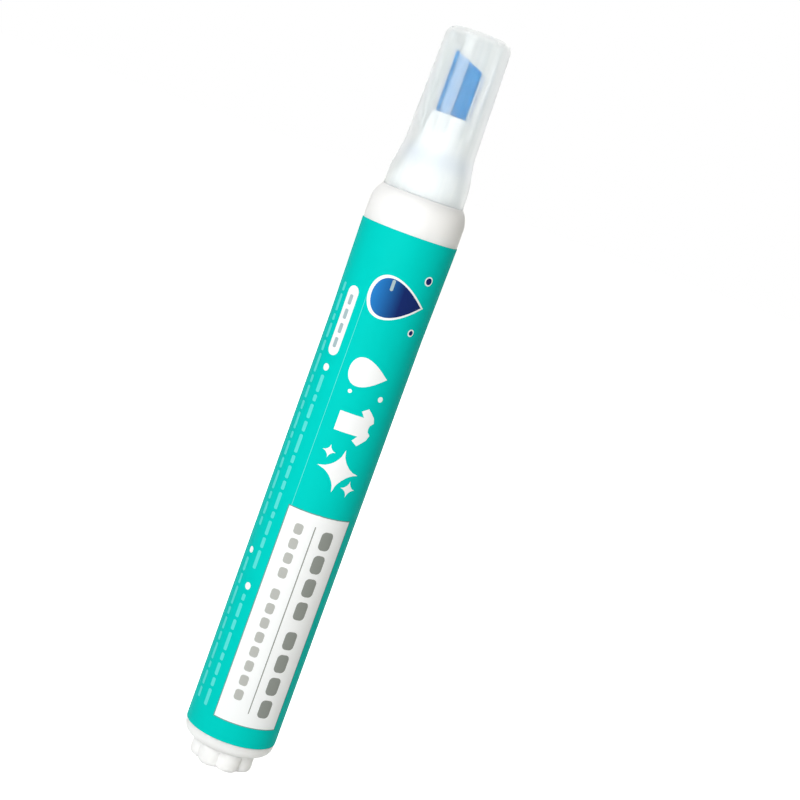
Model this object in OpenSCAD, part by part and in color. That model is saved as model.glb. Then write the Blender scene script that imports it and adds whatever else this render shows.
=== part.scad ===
// Stain remover pen with a push-on cap and a chisel nib that opens a valve when it is pressed.
// It stands on its tail: +Z runs from the tail to the cap, and the nib's broad face looks along -Y.
// All sizes are in millimetres.

/* [Barrel] */
// Outside diameter of the barrel under its label
barrel_d = 16.6; // [16:0.1:20]
// Length of the barrel, from its tail end to the rim of its collar
barrel_len = 101.65; // [85:0.05:130]
// Wall of the barrel
barrel_wall = 1.1; // [0.8:0.05:1.4]
// Height of the bare collar above the label
collar_h = 6.45; // [5:0.05:9]
// Height of the rounded shoulder at the top of the collar
shoulder_h = 3.3; // [1:0.1:4]
// Growth of the barrel's radius just below the collar
mouth_flare = 0.3; // [0.1:0.05:0.4]
// Length over which the barrel grows below the collar
mouth_flare_len = 17.5; // [6:0.5:20]

/* [Label] */
// Thickness of the label film
label_t = 0.1; // [0.05:0.01:0.2]
// Bare barrel left at each end of the label
label_margin = 0.15; // [0.1:0.05:1]

/* [Front section] */
// Diameter of the seat that the cap's skirt goes over
seat_d = 13.0; // [12.6:0.1:14]
// Height of the seat above the rim
seat_h = 0.9; // [0.6:0.1:1.5]
// Height of the cone between the seat and the nose
cone_h = 7.0; // [5.5:0.1:9]
// Height of the nose that holds the nib
nose_h = 6.7; // [5:0.1:9]
// Growth of the nose's radius from its tip to its foot
nose_taper = 0.8; // [0.6:0.05:1]
// Thinnest wall between the nib and the outside of the nose
nose_wall = 0.5; // [0.4:0.05:0.7]
// Rounding of the nose's tip
nose_edge = 0.35; // [0.1:0.05:0.4]
// Wall of the cone and of the plug below it
section_wall = 1.0; // [0.8:0.05:1.2]
// Length of the plug that is pressed into the barrel's neck
plug_len = 10.2; // [8.5:0.1:12]
// Thickness of the flange that stops the plug at the rim
flange_t = 1.2; // [0.8:0.1:1.8]
// Reach of the flange past the seat
flange_step = 0.4; // [0.3:0.05:0.6]
// Reach of the flange past the plug
flange_lip = 0.6; // [0.5:0.05:0.8]
// Number of press rings round the plug
press_rings = 3; // [2:1:4]
// Width of the slot beside the nib that lets the air out
vent_w = 0.8; // [0.6:0.1:1]
// Depth of that slot
vent_d = 0.35; // [0.2:0.05:0.4]

/* [Nib] */
// Width of the nib's broad face
nib_w = 6.1; // [5:0.1:6.5]
// Thickness of the nib
nib_t = 3.8; // [3:0.1:4.4]
// Radius of the nib's upright edges
nib_corner = 1.1; // [0.6:0.1:1.3]
// Reach of the nib's high side past the nose
nib_out = 10.9; // [8:0.1:12]
// Slant of the nib's end, in degrees
nib_slant = 23; // [10:1:32]
// Height of the wedge at the nib's end
nib_wedge_h = 4.6; // [3:0.1:6]
// Thickness of the nib's writing edge
nib_edge = 0.9; // [0.5:0.1:1.5]

/* [Valve] */
// Travel of the nib when it is pressed
press_travel = 2.0; // [1.5:0.1:2.5]
// Depth of the valve's upper face below the rim
valve_sink = 1.5; // [1:0.1:2.5]
// Wall of the valve body
valve_wall = 0.9; // [0.7:0.05:1]
// Thickness of the plate with the valve's seat
seat_plate_t = 1.0; // [0.8:0.1:1.5]
// Gap round the plunger's head that the liquid flows through
flow_gap = 0.8; // [0.6:0.05:1]
// Margin of the plunger's head round the seal
seal_margin = 0.2; // [0.1:0.05:0.3]
// Bevel of the seal's edges
seal_edge = 0.1; // [0.05:0.05:0.2]
// Height of the raised lip that the seal shuts against
seat_lip_h = 0.3; // [0.2:0.05:0.5]
// Width of the raised lip
seat_lip_w = 0.5; // [0.4:0.05:0.6]
// Margin of the seal round the raised lip
lip_margin = 0.3; // [0.2:0.05:0.4]
// Depth of the grooves between the stem's ribs
stem_groove = 0.7; // [0.5:0.05:0.8]
// Thickness of the rubber seal
seal_t = 0.8; // [0.6:0.1:1.2]
// Thickness of the plunger's head
head_t = 1.2; // [1:0.1:1.6]
// Width of the plunger's four stem ribs
stem_rib_w = 0.9; // [0.7:0.1:1.2]
// Room left under the pad when the nib is pressed
pad_clear = 1.0; // [0.5:0.1:1.5]
// Thickness of the pad that carries the nib's foot
pad_t = 0.8; // [0.6:0.1:1.2]
// Length of the fitted spring while the valve is shut
spring_h = 9.7; // [8.5:0.1:12]
// Diameter of the spring's wire
spring_wire = 0.5; // [0.4:0.05:0.6]
// Margin of the plunger's head round the spring
coil_margin = 0.5; // [0.3:0.05:0.6]
// Length of the spigots that keep the spring in place
spigot_h = 1.5; // [1:0.1:2]
// Gap between the spring and a spigot
spigot_gap = 0.25; // [0.15:0.05:0.3]
// Turns of the spring
spring_turns = 7; // [5:1:8]
// Rise of a closed end turn, in wire diameters
closed_pitch = 1.1; // [1.05:0.05:1.3]
// Thickness of the spring retainer
retainer_t = 1.2; // [1:0.1:1.8]
// Number of flow holes in the retainer
flow_holes = 6; // [4:1:8]
// Thickness of the valve body's flange, which rests under the plug
valve_flange_t = 1.0; // [0.8:0.1:1.2]
// Diameter of a flow hole
flow_hole_d = 1.3; // [1:0.1:1.5]

/* [Cap] */
// Wall of the cap's upper part
cap_wall = 0.9; // [0.7:0.05:1.2]
// Thickness of the cap's flat top
cap_top_t = 0.8; // [0.8:0.1:1.5]
// Inside rounding under the cap's top
cap_corner_in = 1.2; // [0.3:0.1:1.6]
// Outside rounding of the cap's top edge
cap_corner = 2.0; // [0.6:0.1:2.4]
// Free height between the nib and the cap's top
cap_headroom = 3.0; // [2:0.1:5]
// Gap between the nose's foot and the cap's upper part
cap_room = 0.75; // [0.5:0.05:1]
// Loss of radius from the cap's flare to its top
cap_taper = 0.4; // [0.1:0.05:0.5]
// Rounding of the skirt's outer lower edge
skirt_edge = 0.15; // [0.1:0.05:0.2]
// Height of the gripping bead's slopes
bead_slope = 0.15; // [0.1:0.05:0.2]
// Height of the gripping bead's flat
bead_flat = 0.2; // [0.1:0.05:0.3]
// Height of the gripping bead above the skirt's lower edge
bead_up = 0.2; // [0.1:0.05:0.3]
// Wall of the cap's skirt
skirt_wall = 0.7; // [0.6:0.05:1]
// Height of the cap's skirt
skirt_h = 2.6; // [2:0.1:4]
// Loss of radius over the height of the skirt
skirt_taper = 0.1; // [0.05:0.05:0.2]
// Height of the flare above the skirt
cap_flare_h = 6.7; // [3:0.1:7.5]
// Number of upright ribs inside the cap
rib_count = 6; // [4:1:8]
// Width of a rib
rib_w = 1.4; // [1:0.1:1.6]
// Reach of the ribs down beside the nose
rib_reach = 3.3; // [2:0.1:4.5]
// Turn of the first rib from the middle of the front, in degrees
rib_turn = -16.5; // [-30:0.5:30]

/* [Tail plug] */
// Height of the lobed stub under the flange
stub_h = 4.0; // [2.5:0.1:6]
// Diameter over the lobes
stub_d = 11.8; // [10.5:0.1:12]
// Number of lobes round the stub
lobe_count = 7; // [6:1:9]
// Diameter of one lobe
lobe_d = 4.8; // [4.3:0.1:5]
// Rounding of the lobes' lower edge
lobe_edge = 1.2; // [0.3:0.1:1.6]
// Turn of the groove nearest the front, in degrees
lobe_turn = -4; // [-25:1:25]
// Height of the rounded flange
tail_flange_h = 2.35; // [1.8:0.05:3]
// Rounding of the flange's lower edge
tail_round = 1.75; // [0.8:0.05:1.8]
// Length of the skirt that is pressed into the barrel
tail_skirt_h = 7; // [5:0.5:12]
// Wall of that skirt
tail_skirt_wall = 1.1; // [0.8:0.1:1.5]
// Depth of the skirt's hollow below the barrel's end
tail_floor_drop = 0.9; // [0.5:0.1:1.2]
// Diameter of the hollow inside the stub
stub_core_d = 6.4; // [4:0.1:7]
// Floor left under that hollow
stub_floor = 1.3; // [1:0.1:2]

/* [Clearances] */
// Gap between the nib and its socket
socket_gap = 0.1; // [0.08:0.02:0.2]
// Gap between the seat and the cap's skirt
cap_gap = 0.1; // [0.08:0.02:0.2]
// Gap left under the cap's gripping bead
bead_gap = 0.04; // [0.02:0.01:0.06]
// Gap between the ribs and the nose
rib_gap = 0.15; // [0.1:0.05:0.25]
// Gap round the plunger's stem in the seat
stem_gap = 0.15; // [0.1:0.05:0.2]
// Relief between press rings
press_relief = 0.1; // [0.05:0.05:0.15]
// Half height of a press ring at its foot
ring_foot = 0.6; // [0.4:0.05:0.8]
// Half height of a press ring over its flat
ring_flat = 0.3; // [0.1:0.05:0.4]
// Bevel that leads a pressed plug into its tube
lead_in = 0.4; // [0.3:0.05:0.5]
// Gap round the flange in its counterbore
flange_gap = 0.05; // [0.03:0.01:0.1]
// Ledge of the collar's rim outside the cap's skirt
rim_ledge = 0.1; // [0.05:0.05:0.3]

/* [Hidden] */
$fn = 96;
eps = 0.01;

// Radii of the neck and of what fits into it, from the outside in
barrel_r = barrel_d / 2;
bore_r = barrel_r - barrel_wall;
seat_r = seat_d / 2;
flange_r = seat_r + flange_step;
neck_r = flange_r - flange_lip;
plug_r = neck_r - press_relief;
cavity_r = plug_r - section_wall;
collar_r = barrel_r + mouth_flare;

// Radii of the nib's socket, the nose and the cap that goes over it
nib_reach = norm([nib_w / 2 - nib_corner, nib_t / 2 - nib_corner]) + nib_corner;
nose_tip_r = nib_reach + socket_gap + nose_wall;
nose_foot_r = nose_tip_r + nose_taper;
skirt_in_r = seat_r + cap_gap;
skirt_r = skirt_in_r + skirt_wall;
rim_r = skirt_r + rim_ledge;
cap_foot_r = nose_foot_r + cap_room + cap_wall;
cap_top_r = cap_foot_r - cap_taper;

// Radii inside the valve
chamber_r = cavity_r - valve_wall;
head_r = chamber_r - flow_gap;
seal_r = head_r - seal_margin;
lip_r = seal_r - lip_margin;
seat_hole_r = lip_r - seat_lip_w;
stem_r = seat_hole_r - stem_gap;
stem_core_r = stem_r - stem_groove;
coil_r = head_r - coil_margin - spring_wire / 2;
spigot_r = coil_r - spring_wire / 2 - spigot_gap;
retainer_r = chamber_r + valve_wall / 2;

// Heights, from the tail up
z_barrel = stub_h + tail_flange_h;
z_rim = z_barrel + barrel_len;
z_collar = z_rim - collar_h;
z_flare = z_collar - mouth_flare_len;
z_label_foot = z_barrel + label_margin;
z_label_top = z_collar - label_margin;
z_plug = z_rim - plug_len;
z_seat_top = z_rim + seat_h;
z_nose = z_seat_top + cone_h;
z_nose_tip = z_nose + nose_h;
z_nib_tip = z_nose_tip + nib_out;
z_cap_in = z_nib_tip + cap_headroom;
z_cap = z_cap_in + cap_top_t;
z_rib = z_nose_tip - rib_reach;

// Heights inside the valve, from its seat down and up
z_plate_top = z_rim - valve_sink;
z_plate = z_plate_top - seat_plate_t;
z_seal_top = z_plate - seat_lip_h;
z_head_top = z_seal_top - seal_t;
z_head = z_head_top - head_t;
z_retainer_top = z_head - spring_h;
z_retainer = z_retainer_top - retainer_t;
z_pad = z_plate_top + press_travel + pad_clear;
z_nib_foot = z_pad + pad_t;

// Points of a round stretch in a profile, from angle a to angle b round the centre c
function arc(c, r, a, b, n = 8) =
    [for (i = [0 : n]) let (t = a + (b - a) * i / n) [c.x + r * cos(t), c.y + r * sin(t)]];

// Points of a soft step from radius a at height z to radius b at height z + h
function soft_step(a, b, z, h, n = 12) =
    [for (i = [0 : n]) [a + (b - a) * (1 - cos(180 * i / n)) / 2, z + h * i / n]];

// Points of one press ring at height z that stands out from radius a to radius b
function press_ring(a, b, z) =
    [[a, z - ring_foot], [b, z - ring_flat], [b, z + ring_flat], [a, z + ring_foot]];

// Points of all press rings, spread evenly between two heights
function press_ring_row(a, b, low, high, n) =
    [for (i = [0 : n - 1]) each press_ring(a, b, low + (high - low) * (i + 0.5) / n)];

module revolve(points) {
    rotate_extrude() polygon(points);
}

// The barrel is one moulded tube: its neck and counterbore hold the front section
module barrel() {
    shoulder_w = collar_r - rim_r;
    shoulder_a = 2 * atan(shoulder_w / shoulder_h);
    shoulder_r = shoulder_h / sin(shoulder_a);
    color("white") revolve(concat(
        [
            [bore_r + lead_in, z_barrel],
            [barrel_r, z_barrel],
            [barrel_r, z_flare],
            [collar_r, z_collar]
        ],
        arc([collar_r - shoulder_r, z_rim - shoulder_h], shoulder_r, 0, shoulder_a),
        [
            [flange_r + flange_gap, z_rim],
            [flange_r + flange_gap, z_rim - flange_t],
            [neck_r, z_rim - flange_t],
            [neck_r, z_plug],
            [bore_r, z_plug - 2 * (bore_r - neck_r)],
            [bore_r, z_barrel + 2 * lead_in]
        ]
    ));
}

// The label follows the barrel, with its flare
module label() {
    top_r = barrel_r + mouth_flare * (z_label_top - z_flare) / mouth_flare_len;
    color([0.05, 0.66, 0.58]) revolve([
        [barrel_r, z_label_foot],
        [barrel_r + label_t, z_label_foot],
        [barrel_r + label_t, z_flare],
        [top_r + label_t, z_label_top],
        [top_r, z_label_top],
        [barrel_r, z_flare]
    ]);
}

// Outline of the stub: round lobes in a ring, with a groove at the turn of lobe_turn
module lobe_outline() {
    half_turn = 180 / lobe_count;
    ring_r = (stub_d - lobe_d) / 2;
    circle(ring_r);
    for (i = [0 : lobe_count - 1])
        rotate(lobe_turn - 90 + half_turn + 2 * half_turn * i)
            translate([ring_r, 0]) circle(d = lobe_d);
}

// The tail plug: lobed stub, rounded flange and a hollow skirt with press rings
module tail_plug() {
    skirt_r = bore_r - press_relief;
    z_top = z_barrel + tail_skirt_h;
    z_floor = z_barrel - tail_floor_drop;
    color("white") difference() {
        union() {
            intersection() {
                linear_extrude(stub_h + eps) lobe_outline();
                revolve(concat(
                    [[0, 0]],
                    arc([stub_d / 2 - lobe_edge, lobe_edge], lobe_edge, -90, 0, 6),
                    [[stub_d / 2, stub_h + 1], [0, stub_h + 1]]
                ));
            }
            revolve(concat(
                [[0, stub_h]],
                arc([barrel_r - tail_round, stub_h + tail_round], tail_round, -90, 0, 10),
                [[barrel_r, z_barrel], [skirt_r, z_barrel]],
                press_ring_row(skirt_r, bore_r, z_barrel + ring_foot, z_top - 2 * ring_foot, 2),
                [[skirt_r, z_top - lead_in], [skirt_r - lead_in, z_top], [0, z_top]]
            ));
        }
        revolve([
            [0, stub_floor],
            [stub_core_d / 2, stub_floor],
            [stub_core_d / 2, z_floor],
            [skirt_r - tail_skirt_wall, z_floor],
            [skirt_r - tail_skirt_wall, z_top + 1],
            [0, z_top + 1]
        ]);
    }
}

// Outline of the nib's cross section, grown by a gap on every side
module nib_outline(gap = 0) {
    w = nib_w + 2 * gap;
    t = nib_t + 2 * gap;
    c = nib_corner + gap;
    square([w - 2 * c, t], center = true);
    square([w, t - 2 * c], center = true);
    for (x = [-1, 1], y = [-1, 1])
        translate([x * (w / 2 - c), y * (t / 2 - c)]) circle(c);
}

// The front section: nose, cone, seat, flange and the plug in the barrel's neck
module front_section() {
    color([0.97, 0.98, 0.98]) difference() {
        revolve(concat(
            [[cavity_r, z_plug], [plug_r - lead_in, z_plug], [plug_r, z_plug + lead_in]],
            press_ring_row(plug_r, neck_r, z_plug + 2 * lead_in, z_rim - flange_t, press_rings),
            [
                [plug_r, z_rim - flange_t],
                [flange_r, z_rim - flange_t],
                [flange_r, z_rim],
                [seat_r, z_rim],
                [seat_r, z_seat_top],
                [nose_foot_r, z_nose]
            ],
            arc([nose_tip_r - nose_edge, z_nose_tip - nose_edge], nose_edge, 0, 90, 5),
            [
                [0, z_nose_tip],
                [0, z_nose - section_wall],
                [nose_foot_r - section_wall, z_nose - section_wall],
                [cavity_r, z_seat_top]
            ]
        ));
        translate([0, 0, z_nose - 2 * section_wall])
            linear_extrude(nose_h + 3 * section_wall) {
                nib_outline(socket_gap);
                for (side = [-1, 1])
                    translate([0, side * (nib_t / 2 + socket_gap)])
                        square([vent_w, 2 * vent_d], center = true);
            }
    }
}

// The nib: a rounded bar whose end is a slanted wedge
module nib() {
    wide = 4 * nib_w;
    deep = (nib_t - nib_edge) / 2;
    low = 2 * (z_nib_tip - z_nib_foot);
    color([0.33, 0.6, 0.85]) intersection() {
        translate([0, 0, z_nib_foot])
            linear_extrude(z_nib_tip - z_nib_foot) nib_outline();
        translate([-nib_w / 2, 0, z_nib_tip]) rotate([0, nib_slant, 0]) rotate([90, 0, 90])
            linear_extrude(wide, center = true) polygon([
                [-nib_t, -low],
                [nib_t, -low],
                [nib_t, -nib_wedge_h * (nib_t - nib_edge / 2) / deep],
                [nib_edge / 2, 0],
                [-nib_edge / 2, 0],
                [-nib_t, -nib_wedge_h * (nib_t - nib_edge / 2) / deep]
            ]);
    }
}

// The valve body: a cup with a pierced seat plate at its top and a flange under the plug
module valve_body() {
    color([0.9, 0.93, 0.95]) revolve([
        [retainer_r, z_retainer],
        [cavity_r, z_retainer],
        [cavity_r, z_plug - valve_flange_t],
        [plug_r, z_plug - valve_flange_t],
        [plug_r, z_plug],
        [cavity_r, z_plug],
        [cavity_r, z_plate_top],
        [seat_hole_r, z_plate_top],
        [seat_hole_r, z_seal_top],
        [lip_r, z_seal_top],
        [lip_r, z_plate],
        [chamber_r, z_plate],
        [chamber_r, z_retainer_top],
        [retainer_r, z_retainer_top]
    ]);
}

// The plunger: spring spigot, head, ribbed stem through the seat and the pad under the nib
module valve_plunger() {
    color([0.95, 0.95, 0.9]) {
        translate([0, 0, z_head - spigot_h]) cylinder(r = spigot_r, h = spigot_h + eps);
        translate([0, 0, z_head]) cylinder(r = head_r, h = head_t);
        translate([0, 0, z_head]) cylinder(r = stem_core_r, h = z_plate - z_head);
        intersection() {
            translate([0, 0, z_plate - eps]) cylinder(r = stem_r, h = z_nib_foot - z_plate + eps);
            union() {
                for (a = [0, 90])
                    rotate(a) translate([-stem_r, -stem_rib_w / 2, z_plate - eps])
                        cube([2 * stem_r, stem_rib_w, z_nib_foot - z_plate + eps]);
                translate([0, 0, z_pad]) cylinder(r = stem_r, h = pad_t);
            }
        }
    }
}

// The seal: a rubber washer on the plunger's head
module valve_seal() {
    color([0.25, 0.25, 0.27]) revolve([
        [stem_core_r, z_head_top],
        [seal_r - seal_edge, z_head_top],
        [seal_r, z_head_top + seal_edge],
        [seal_r, z_seal_top - seal_edge],
        [seal_r - seal_edge, z_seal_top],
        [stem_core_r, z_seal_top]
    ]);
}

// The retainer: a pierced disc that fills the mouth of the valve body and guides the spring
module spring_retainer() {
    ring_r = (spigot_r + retainer_r) / 2;
    color([0.9, 0.93, 0.95]) difference() {
        union() {
            translate([0, 0, z_retainer]) cylinder(r = retainer_r, h = retainer_t);
            translate([0, 0, z_retainer_top - eps]) cylinder(r = spigot_r, h = spigot_h + eps);
        }
        for (i = [0 : flow_holes - 1])
            rotate(360 * i / flow_holes) translate([ring_r, 0, z_retainer - 1])
                cylinder(d = flow_hole_d, h = retainer_t + 2);
    }
}

// Height of the spring's wire after t of its turns: the end turns are closed
function coil_z(t, low, high) =
    let (closed = spring_wire * closed_pitch, mid = spring_turns - 2)
    t < 1 ? low + closed * t
    : t > spring_turns - 1 ? high - closed * (spring_turns - t)
    : low + closed + (high - low - 2 * closed) * (t - 1) / mid;

// The spring: one wire swept along its coil, from the retainer up to the plunger's head
module valve_spring() {
    sides = 6;
    turn_steps = 10;
    steps = turn_steps * spring_turns;
    wire_r = spring_wire / 2;
    low = z_retainer_top + wire_r + eps;
    high = z_head - wire_r - eps;
    points = [
        for (i = [0 : steps], k = [0 : sides - 1])
            let (a = 360 * i / turn_steps, b = 360 * k / sides, r = coil_r + wire_r * cos(b))
            [r * cos(a), r * sin(a), coil_z(i / turn_steps, low, high) + wire_r * sin(b)]
    ];
    walls = [
        for (i = [0 : steps - 1], k = [0 : sides - 1])
            let (p = i * sides + k, q = i * sides + (k + 1) % sides)
            each [[p, q, q + sides], [p, q + sides, p + sides]]
    ];
    ends = [
        [for (k = [0 : sides - 1]) sides - 1 - k],
        [for (k = [0 : sides - 1]) steps * sides + k]
    ];
    color("silver") polyhedron(points, concat(walls, ends), convexity = 10);
}

// Inside of the cap, from its mouth up, with a small gripping bead over the seat
function cap_inside() = concat(
    let (z_bead = z_rim + bead_up + bead_slope) [
        [skirt_in_r, z_rim - 1],
        [skirt_in_r, z_bead - bead_slope],
        [seat_r + bead_gap, z_bead],
        [seat_r + bead_gap, z_bead + bead_flat],
        [skirt_in_r, z_bead + bead_flat + bead_slope]
    ],
    soft_step(skirt_in_r - skirt_taper, cap_foot_r - cap_wall, z_rim + skirt_h, cap_flare_h),
    arc([cap_top_r - cap_wall - cap_corner_in, z_cap_in - cap_corner_in], cap_corner_in, 0, 90, 4),
    [[0, z_cap_in], [0, z_rim - 1]]
);

// Outside of the cap
function cap_outside() = concat(
    [[0, z_rim], [skirt_r - skirt_edge, z_rim], [skirt_r, z_rim + skirt_edge]],
    soft_step(skirt_r - skirt_taper, cap_foot_r, z_rim + skirt_h, cap_flare_h),
    arc([cap_top_r - cap_corner, z_cap - cap_corner], cap_corner, 0, 90, 10),
    [[0, z_cap]]
);

// The cap: a thin shell with upright ribs that stop just clear of the nose
module cap() {
    tip_r = nose_tip_r + nose_taper * rib_reach / nose_h + rib_gap;
    color([0.85, 0.9, 0.9, 0.5]) {
        difference() {
            revolve(cap_outside());
            revolve(cap_inside());
        }
        intersection() {
            translate([0, 0, z_rib]) cylinder(r = cap_foot_r, h = z_cap_in - z_rib + eps);
            revolve(cap_outside());
            for (i = [0 : rib_count - 1])
                rotate(rib_turn - 90 + 360 * i / rib_count) translate([tip_r, -rib_w / 2, z_rib])
                    cube([cap_top_r - tip_r - cap_wall / 2, rib_w, z_cap_in - z_rib + eps]);
        }
    }
}

barrel();
label();
tail_plug();
front_section();
nib();
valve_body();
valve_plunger();
valve_seal();
valve_spring();
spring_retainer();
cap();
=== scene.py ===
"""Stain remover pen: the looks of its pieces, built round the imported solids.

Sizes are in millimetres, as on the pen's drawing, and every finished piece is brought to metres.
The pen stands on its tail: +Z runs from the tail to the cap, and the front of the label faces -Y.
"""

from __future__ import annotations

import logging
import math
from collections.abc import Callable, Iterable, Sequence
from dataclasses import dataclass, field
from enum import Enum

import bpy
from mathutils import Matrix, Vector


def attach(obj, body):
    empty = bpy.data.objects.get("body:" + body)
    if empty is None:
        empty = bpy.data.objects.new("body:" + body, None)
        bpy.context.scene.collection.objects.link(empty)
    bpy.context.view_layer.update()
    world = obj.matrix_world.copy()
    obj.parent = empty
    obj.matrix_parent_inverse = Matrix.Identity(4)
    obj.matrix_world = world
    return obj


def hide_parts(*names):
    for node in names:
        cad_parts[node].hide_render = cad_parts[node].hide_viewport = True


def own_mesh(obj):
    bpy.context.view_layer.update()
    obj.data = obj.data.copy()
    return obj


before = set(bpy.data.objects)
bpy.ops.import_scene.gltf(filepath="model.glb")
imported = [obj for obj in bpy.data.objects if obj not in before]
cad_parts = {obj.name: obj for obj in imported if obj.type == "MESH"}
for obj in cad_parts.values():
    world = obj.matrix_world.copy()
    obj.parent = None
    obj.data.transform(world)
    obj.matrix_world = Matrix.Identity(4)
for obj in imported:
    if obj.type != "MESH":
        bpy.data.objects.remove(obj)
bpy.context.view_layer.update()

log = logging.getLogger("stain_pen")

Point = tuple[float, float]
Point3 = tuple[float, float, float]
Colour = tuple[float, float, float]
Thing = bpy.types.Object
Material = bpy.types.Material
Socket = bpy.types.NodeSocket
Sockets = bpy.types.bpy_prop_collection

# A millimetre in metres
MM = 0.001
# Points closer than this, in millimetres, become one
MERGE_GAP = 0.0005
# Steps round a full turn
ROUND_STEPS = 192
# Share of a bar's width that its fully rounded corners take
ROUND_SHARE = 0.49
# A face whose normal's Z is below this looks down
FACES_DOWN = -0.9


class Body(Enum):
    """The moving bodies that a piece can ride on."""

    BARREL = "barrel_body"
    NIB = "nib_unit"
    CAP = "cap_body"


class Slot(Enum):
    """The material slots' names. No piece here takes its finish from them."""

    WHITE = "white_plastic"
    LABEL = "label_film"
    FELT = "blue_felt"
    CAP = "frosted_cap"


@dataclass(frozen=True)
class PenSizes:
    """The pen's shared radii and heights, in millimetres, as its drawing has them."""

    barrel_r: float = 8.3
    bore_r: float = 7.2
    label_r: float = 8.4
    collar_r: float = 8.6
    neck_r: float = 6.3
    counterbore_r: float = 6.95
    rim_r: float = 7.4
    z_barrel: float = 6.35
    z_label_foot: float = 6.5
    z_flare: float = 84.05
    z_plug: float = 97.8
    z_label_top: float = 101.4
    z_collar: float = 101.55
    z_shoulder: float = 104.7
    z_flange: float = 106.8
    z_rim: float = 108.0
    z_nib_tip: float = 133.5


PEN = PenSizes()


def nothing_selected() -> None:
    """Leaves edit mode and deselects every object."""
    if bpy.context.mode != "OBJECT":
        bpy.ops.object.mode_set(mode="OBJECT")
    bpy.ops.object.select_all(action="DESELECT")


def pick(piece: Thing) -> None:
    """Makes one object the only one selected, and active.

    Args:
        piece: The object that the next operators work on.
    """
    nothing_selected()
    piece.select_set(True)
    bpy.context.view_layer.objects.active = piece


def apply_all() -> None:
    """Applies the selected object's place, turn and scale to its mesh."""
    bpy.ops.object.transform_apply(location=True, rotation=True, scale=True)


def edit_all(piece: Thing, mode: str = "VERT") -> None:
    """Opens an object in edit mode with its whole mesh selected.

    Args:
        piece: The object to edit.
        mode: What is selected: VERT, EDGE or FACE.
    """
    pick(piece)
    bpy.ops.object.mode_set(mode="EDIT")
    bpy.ops.mesh.select_mode(type=mode)
    bpy.ops.mesh.select_all(action="SELECT")


def close_edit(piece: Thing) -> Thing:
    """Closes edit mode, with the edited object as the only one selected.

    Args:
        piece: The object that was edited.

    Returns:
        The same object.
    """
    bpy.ops.object.mode_set(mode="OBJECT")
    pick(piece)
    return piece


def select_faces(piece: Thing, wanted: Callable[[Vector, Vector], bool]) -> int:
    """Opens an object in edit mode with the faces selected that pass a test.

    Args:
        piece: The object to edit.
        wanted: Takes a face's centre and normal, and says if it is wanted.

    Returns:
        The number of faces selected.
    """
    edit_all(piece, "FACE")
    bpy.ops.mesh.select_all(action="DESELECT")
    bpy.ops.object.mode_set(mode="OBJECT")
    count = 0
    for face in piece.data.polygons:
        face.select = wanted(face.center, face.normal)
        count += face.select
    bpy.ops.object.mode_set(mode="EDIT")
    return count


def modify(piece: Thing, kind: str, **settings: object) -> Thing:
    """Adds a modifier with the given settings to an object, and applies it.

    Args:
        piece: The object to change.
        kind: The modifier's type.
        settings: The modifier's properties and their values.

    Returns:
        The same object.
    """
    pick(piece)
    modifier = piece.modifiers.new(kind.lower(), kind)
    for name, value in settings.items():
        setattr(modifier, name, value)
    bpy.ops.object.modifier_apply(modifier=modifier.name)
    return piece


def united(piece: Thing, other: Thing, **settings: object) -> None:
    """Adds another object's solid to a piece, and removes the other object."""
    modify(piece, "BOOLEAN", operation="UNION", solver="EXACT", object=other, **settings)
    bpy.data.objects.remove(other)


def block(name: str, middle: Point3, size: Point3) -> Thing:
    """Adds a plain box.

    Args:
        name: Its name.
        middle: Its middle.
        size: Its sizes along X, Y and Z.

    Returns:
        The box.
    """
    nothing_selected()
    bpy.ops.mesh.primitive_cube_add(size=1, location=middle)
    piece = bpy.context.object
    piece.name = name
    piece.scale = size
    apply_all()
    return piece


def arc(centre: Point, radius: float, start: float, end: float, steps: int = 8) -> list[Point]:
    """Points of a round stretch in a profile.

    Args:
        centre: The centre, as (radius, height).
        radius: The radius of the stretch.
        start: The first angle, in degrees.
        end: The last angle, in degrees.
        steps: The number of steps.

    Returns:
        The points from start to end.
    """
    turns = [math.radians(start + (end - start) * i / steps) for i in range(steps + 1)]
    return [(centre[0] + radius * math.cos(a), centre[1] + radius * math.sin(a)) for a in turns]


def soft_step(
    start_r: float, end_r: float, low: float, height: float, steps: int = 16
) -> list[Point]:
    """Points of a soft step in a profile, from one radius to another.

    Args:
        start_r: The radius at the lower end.
        end_r: The radius at the upper end.
        low: The height of the lower end.
        height: The height of the step.
        steps: The number of steps.

    Returns:
        The points from the lower end to the upper end.
    """
    shares = [(1 - math.cos(math.pi * i / steps)) / 2 for i in range(steps + 1)]
    return [
        (start_r + (end_r - start_r) * share, low + height * i / steps)
        for i, share in enumerate(shares)
    ]


def drawn_line(name: str, points: Sequence[Vector], closed: bool = False) -> Thing:
    """Draws a line by extruding one vertex from point to point.

    Args:
        name: The new object's name.
        points: The points of the line.
        closed: Whether the line returns to its first point.

    Returns:
        The new object, open in edit mode with its whole line selected.
    """
    nothing_selected()
    bpy.ops.mesh.primitive_plane_add(size=1)
    piece = bpy.context.object
    piece.name = name
    edit_all(piece)
    bpy.ops.mesh.merge(type="CENTER")
    bpy.ops.transform.translate(value=points[0])
    path = list(points) + ([points[0]] if closed else [])
    for here, there in zip(path, path[1:]):
        bpy.ops.mesh.extrude_region_move(TRANSFORM_OT_translate={"value": there - here})
    bpy.ops.mesh.select_all(action="SELECT")
    if closed:
        bpy.ops.mesh.remove_doubles(threshold=MERGE_GAP)
    return piece


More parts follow.
